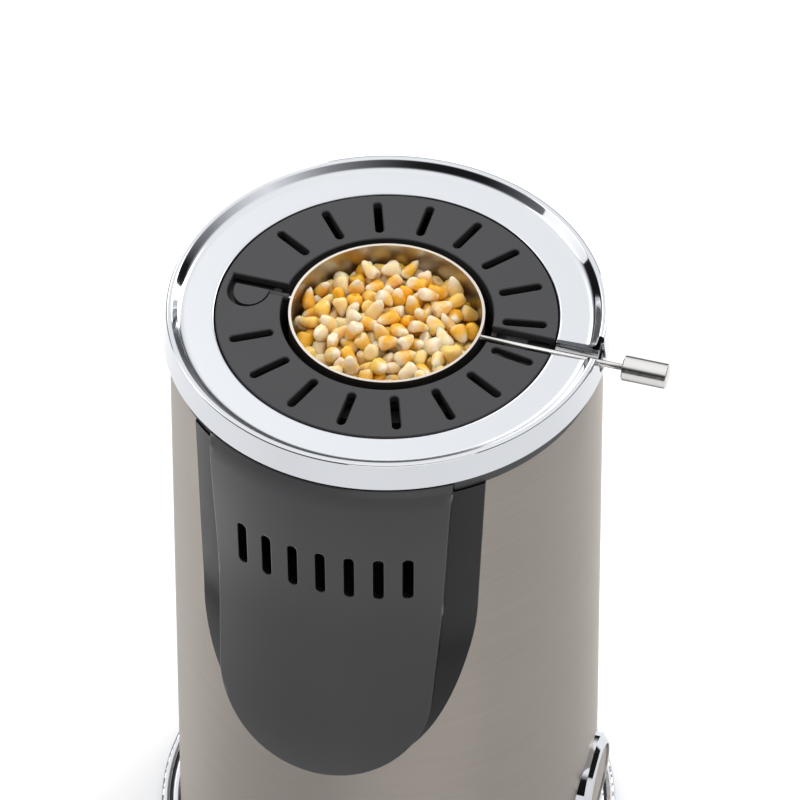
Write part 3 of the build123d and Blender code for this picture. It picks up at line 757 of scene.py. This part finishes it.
    def fill(self) -> None:
        """Sets a turned and scaled kernel at each settled centre, all as one piece that rides with the cup."""
        draw = np.random.default_rng(self.seed)
        centre = self.settle(draw)
        unit, quads, caps = self.kernel_grid()
        points = self.shape_kernels(unit, draw) + centre[:, None]
        offset = (np.arange(self.count) * len(unit))[:, None, None]
        faces = (quads[None] + offset).reshape(-1, 4).tolist() + (caps[None] + offset).reshape(-1, 3).tolist()
        corn = surface("corn_kernels", points.reshape(-1, 3), faces, self.material(Finish.CORN))
        tint = draw.uniform(0, 1, self.count)
        starchy = draw.uniform(*self.starchy_range, self.count)[:, None]
        at_tip = np.clip(-unit[:, 2] - 0.3, 0, 1)
        at_crown = starchy * np.clip(unit[:, 2] + 0.25, 0, 1)
        starch = np.maximum(at_tip[None], at_crown) + self.starch_spread * draw.normal(size=(self.count, 1))
        for name, values in (("tint", np.repeat(tint, len(unit))), ("starch", starch.reshape(-1))):
            layer = corn.data.attributes.new(name, "FLOAT", "POINT")
            layer.data.foreach_set("value", values)
        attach(corn, BodyName.CUP.value)
        log.info("corn_kernels: %d kernels, %d faces", self.count, len(faces))

    def build(self) -> None:
        """Dresses the cup and its rod, and fills the cup."""
        self.refine(Finish.CUP_STEEL, BodyName.CUP, "kernel_cup")
        self.refine(Finish.ROD_STEEL, BodyName.CUP, "cup_rod", "rod_knob")
        self.dress(Finish.ROD_STEEL, "cup_pin")
        self.dress(Finish.MATTE_BLACK, "stop_paddle")
        self.fill()


# ---------------------------------------------------------------------------------------------- studio


@dataclass
class Studio:
    """White table, soft lights with a dark room beyond them, and the camera."""

    camera_place: tuple[float, float, float] = (0.2750, -0.9184, 1.2455)
    camera_aim: tuple[float, float, float] = (0.0050, 0.0, 0.2478)
    lens_mm: float = 168.75
    sensor_mm: float = 36.0
    far_clip: float = 50.0
    table_size: float = 12.0
    # name, azimuth in degrees, distance in metres, (width, height) in metres and watts of each light card
    cards: tuple[tuple[str, float, float, tuple[float, float], float], ...] = (
        ("card_left", 184, 1.5, (0.8, 1.5), 5), ("card_back_left", 124, 1.6, (0.7, 1.4), 6),
        ("card_back_right", 62, 1.6, (0.5, 1.4), 10), ("card_front", -62, 2.6, (2.8, 1.2), 18),
    )
    card_height: float = 0.85
    lit_height: float = 0.2  # on the object's axis, where every card faces
    dark_front: float = 0.15  # the room darkens towards the front where a direction's y is below minus this
    front_share: float = 0.75  # of y's fall past that point, the share taken off the direction's z
    glow_strength: float = 1.4

    def table(self) -> None:
        """Lays the pale table under the object."""
        half = self.table_size / 2
        corners = np.array([(-half, -half, 0), (half, -half, 0), (half, half, 0), (-half, half, 0)])
        material = new_material("table_white_matte", Base_Color=linear("#FAFAFA"), Roughness=0.9)[0]
        surface("table", corners, [[0, 1, 2, 3]], material)

    def card(self, name: str, azimuth: float, distance: float, size: tuple[float, float], watts: float) -> None:
        """Stands one upright light card round the object and turns it to face the middle.

        Args:
            name: the light's name.
            azimuth: its direction from the object in degrees, anticlockwise from +X.
            distance: its distance from the object's axis in metres.
            size: its width and height in metres.
            watts: its power.
        """
        data = bpy.data.lights.new(name, "AREA")
        data.shape = "RECTANGLE"
        data.size, data.size_y = size
        data.energy = watts
        lamp = bpy.data.objects.new(name, data)
        place = Vector((distance * cos(radians(azimuth)), distance * sin(radians(azimuth)), self.card_height))
        lamp.location = place
        lamp.rotation_euler = (Vector((0, 0, self.lit_height)) - place).to_track_quat("-Z", "Y").to_euler()
        lamp.visible_camera = False
        bpy.context.scene.collection.objects.link(lamp)

    def room(self) -> None:
        """Lights the set from above and leaves the room dark at eye level. The camera itself sees a pale backdrop.

        The glow in direction (x, y, z) is a ramp on z + front_share * min(y + dark_front, 0).
        """
        world = bpy.data.worlds.new("studio_room")
        world.use_nodes = True
        tree = world.node_tree
        background = tree.nodes["Background"]
        direction = add_node(tree, "ShaderNodeTexCoord").outputs["Generated"]
        split = add_node(tree, "ShaderNodeSeparateXYZ", {"Vector": direction})
        front = add_node(tree, "ShaderNodeMath", {0: split.outputs["Y"], 1: self.dark_front}, operation="ADD")
        ahead = add_node(tree, "ShaderNodeMath", {0: front.outputs["Value"], 1: 0.0}, operation="MINIMUM")
        lowered = add_node(tree, "ShaderNodeMath", {0: ahead.outputs["Value"], 1: self.front_share,
                                                    2: split.outputs["Z"]}, operation="MULTIPLY_ADD")
        ramp = add_node(tree, "ShaderNodeValToRGB", {"Fac": lowered.outputs["Value"]})
        shade_stops(ramp, (0.0, "#151516"), (0.18, "#1C1C1E"), (0.34, "#8C8D90"), (0.54, "#F0F1F4"),
                    (1.0, "#FFFFFF"))
        seen = add_node(tree, "ShaderNodeLightPath").outputs["Is Camera Ray"]
        glow = add_node(tree, "ShaderNodeMix", {"Factor": seen, "A": ramp.outputs["Color"], "B": linear("#DCDDDF")},
                        data_type="RGBA")
        tree.links.new(glow.outputs["Result"], background.inputs["Color"])
        background.inputs["Strength"].default_value = self.glow_strength
        bpy.context.scene.world = world

    def camera(self) -> None:
        """Places the camera."""
        data = bpy.data.cameras.new("camera")
        data.lens = self.lens_mm
        data.sensor_width = self.sensor_mm
        data.clip_end = self.far_clip
        camera = bpy.data.objects.new("camera", data)
        camera.location = self.camera_place
        look = Vector(self.camera_aim) - Vector(self.camera_place)
        camera.rotation_euler = look.to_track_quat("-Z", "Y").to_euler()
        bpy.context.scene.collection.objects.link(camera)
        bpy.context.scene.camera = camera

    def build(self) -> None:
        """Sets up the whole studio."""
        self.table()
        self.room()
        for row in self.cards:
            self.card(*row)
        self.camera()
        bpy.context.scene.view_settings.view_transform = "Standard"
        log.info("studio: table, room, %d light cards and camera", len(self.cards))


def main() -> None:
    """Builds the studio and every sub-assembly in order."""
    logging.basicConfig(level=logging.INFO, format="%(name)s: %(message)s")
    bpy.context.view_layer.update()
    Studio().build()
    made: dict[Finish, bpy.types.Material] = {}
    for part in (Base, OuterBody, Chute, Heater, Drive, PowerButton, Lid, Cup):
        log.info("building %s", part.__name__)
        part(made).build()


if __name__ == "__main__":
    main()
